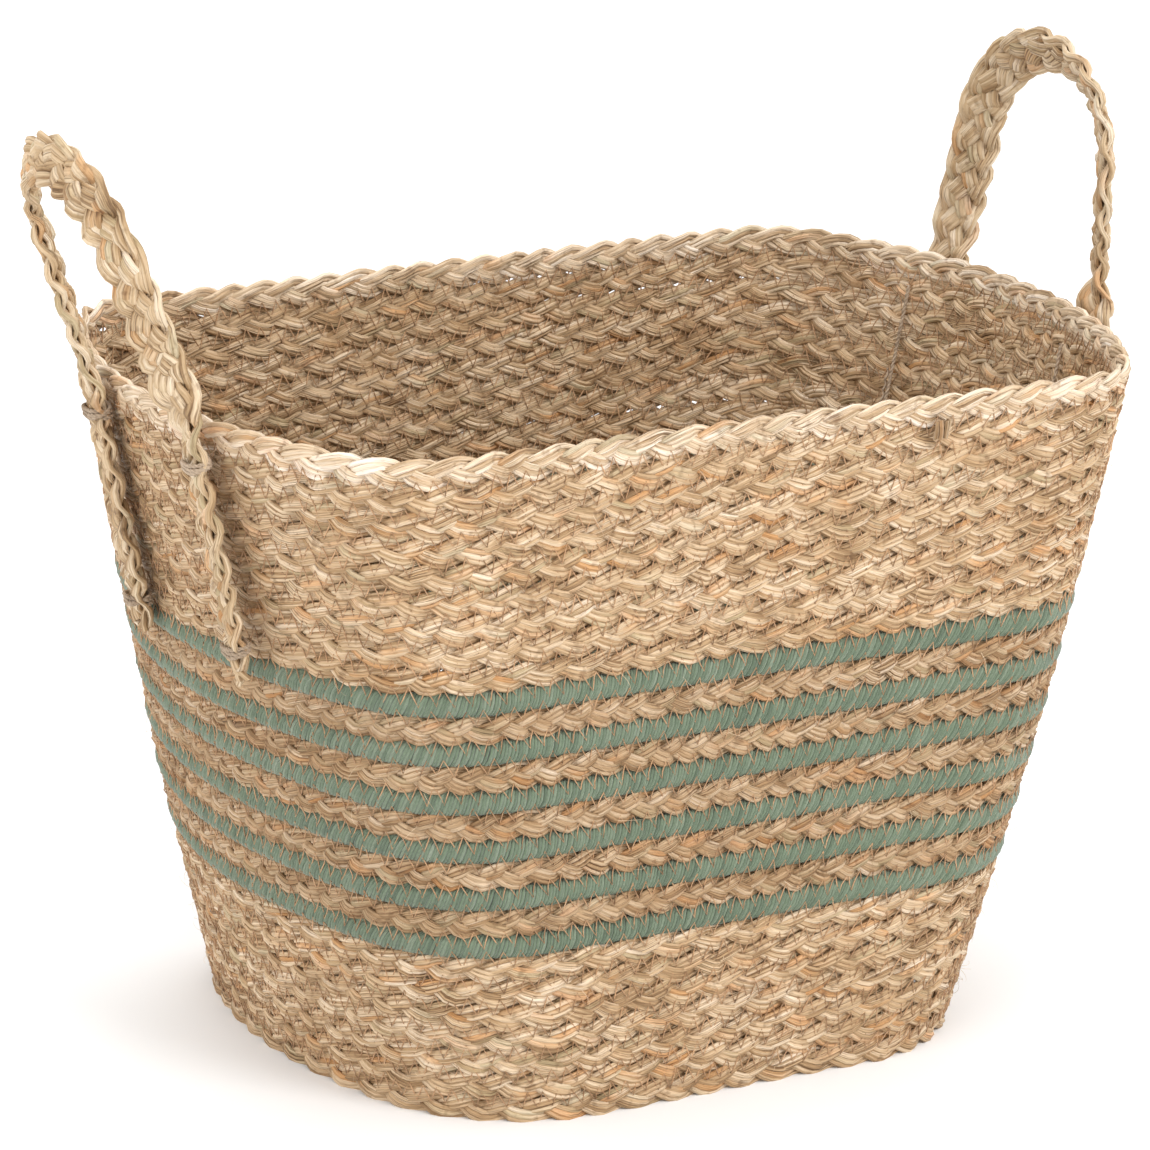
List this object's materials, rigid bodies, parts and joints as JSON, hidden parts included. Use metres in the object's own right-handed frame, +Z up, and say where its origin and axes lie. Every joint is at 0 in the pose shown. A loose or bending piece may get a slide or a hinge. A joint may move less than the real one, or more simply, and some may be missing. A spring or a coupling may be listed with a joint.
{
  "type": "storage basket",
  "caption": "Tapered oblong storage basket of seagrass plaits sewn in rounds, with a green banded middle and two upright plaited loop handles.",
  "frame": {"origin": "middle of the floor's underside, on the ground", "axes": "+X along the basket towards the right handle, +Y towards the back, +Z up"},
  "size_m": [0.4714, 0.2658, 0.3869],
  "materials": {
    "wall_seagrass": "matt",
    "rim_seagrass": "matt",
    "band_seagrass": "matt",
    "handle_seagrass": "matt",
    "floor_seagrass": "matt",
    "green_cord": "matt",
    "thread": "matt",
    "twine": "matt"
  },
  "bodies": {
    "basket": {"floor_coil": "floor_seagrass", "lower_course_1": "wall_seagrass", "lower_course_2": "wall_seagrass", "lower_course_3": "wall_seagrass", "lower_course_4": "wall_seagrass", "lower_course_5": "wall_seagrass", "lower_course_6": "wall_seagrass", "lower_course_7": "wall_seagrass", "green_course_1": "green_cord", "stripe_course_1": "band_seagrass", "green_course_2": "green_cord", "stripe_course_2": "band_seagrass", "green_course_3": "green_cord", "stripe_course_3": "band_seagrass", "green_course_4": "green_cord", "stripe_course_4": "band_seagrass", "green_course_5": "green_cord", "stripe_course_5": "band_seagrass", "green_course_6": "green_cord", "upper_course_1": "wall_seagrass", "upper_course_2": "wall_seagrass", "upper_course_3": "wall_seagrass", "upper_course_4": "wall_seagrass", "upper_course_5": "wall_seagrass", "upper_course_6": "wall_seagrass", "upper_course_7": "wall_seagrass", "upper_course_8": "wall_seagrass", "rim_course": "rim_seagrass", "lower_seams": "thread", "stripe_seams": "thread", "upper_seams": "thread", "left_handle_front_leg": "handle_seagrass", "left_handle_back_leg": "handle_seagrass", "left_front_upper_tie": "twine", "left_front_lower_tie": "twine", "left_front_inner_twine": "twine", "left_back_upper_tie": "twine", "left_back_lower_tie": "twine", "left_back_inner_twine": "twine", "right_handle_front_leg": "handle_seagrass", "right_handle_back_leg": "handle_seagrass", "right_front_upper_tie": "twine", "right_front_lower_tie": "twine", "right_front_inner_twine": "twine", "right_back_upper_tie": "twine", "right_back_lower_tie": "twine", "right_back_inner_twine": "twine"},
    "left_handle": {"left_handle_loop": "handle_seagrass"},
    "right_handle": {"right_handle_loop": "handle_seagrass"}
  },
  "joints": [
    {"name": "left_handle_fold", "type": "hinge", "parent": "basket", "child": "left_handle", "pos_m": [-0.21416, 0, 0.284], "axis": [0, -1, 0], "range_deg": [-53, 37], "stiffness_Nm_per_rad": 0.15},
    {"name": "right_handle_fold", "type": "hinge", "parent": "basket", "child": "right_handle", "pos_m": [0.21633, 0, 0.284], "axis": [0, 1, 0], "range_deg": [-35, 55], "stiffness_Nm_per_rad": 0.15}
  ]
}
